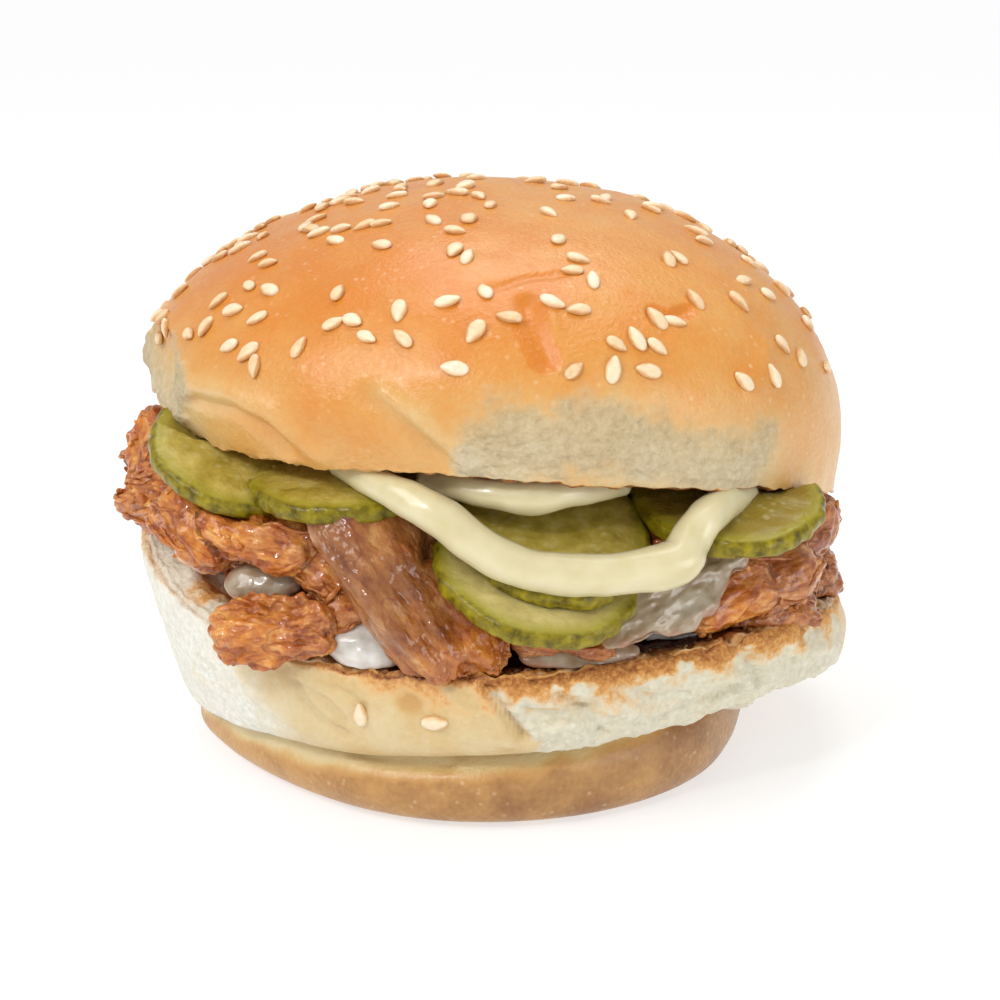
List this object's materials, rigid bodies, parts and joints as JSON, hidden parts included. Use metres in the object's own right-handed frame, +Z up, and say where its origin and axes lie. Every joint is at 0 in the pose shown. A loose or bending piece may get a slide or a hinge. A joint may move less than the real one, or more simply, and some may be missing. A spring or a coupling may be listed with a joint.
{
  "type": "pulled pork sandwich",
  "caption": "Pulled pork sandwich: seeded bun filled with pulled pork, pickle slices, onion and mayonnaise.",
  "frame": {"origin": "centre of the heel's flat base, on the surface that the sandwich stands on", "axes": "+Z up, -Y towards the side that the filling spills from, +X to its right"},
  "size_m": [0.1142, 0.1125, 0.0883],
  "materials": {
    "bun_crown": "glossy golden crust with sesame seeds",
    "bun_heel": "soft pale crust and torn white crumb",
    "pork": "wet, sauced and fibrous",
    "pickle": "moist, with a darker rind",
    "onion": "moist and slightly translucent",
    "mayonnaise": "smooth and glossy"
  },
  "bodies": {
    "root": {"bun_crown": "bun_crown", "bun_heel": "bun_heel", "mayonnaise_back": "mayonnaise", "mayonnaise_front": "mayonnaise", "onion_front": "onion", "onion_layer": "onion", "onion_left": "onion", "onion_low": "onion", "onion_right": "onion", "pickle_back_left": "pickle", "pickle_back_right": "pickle", "pickle_front_high": "pickle", "pickle_front_low": "pickle", "pickle_left": "pickle", "pickle_left_front": "pickle", "pickle_right": "pickle", "pork_piece_left": "pork", "pork_piece_low": "pork", "pork_slab": "pork", "pulled_pork": "pork"}
  },
  "joints": []
}
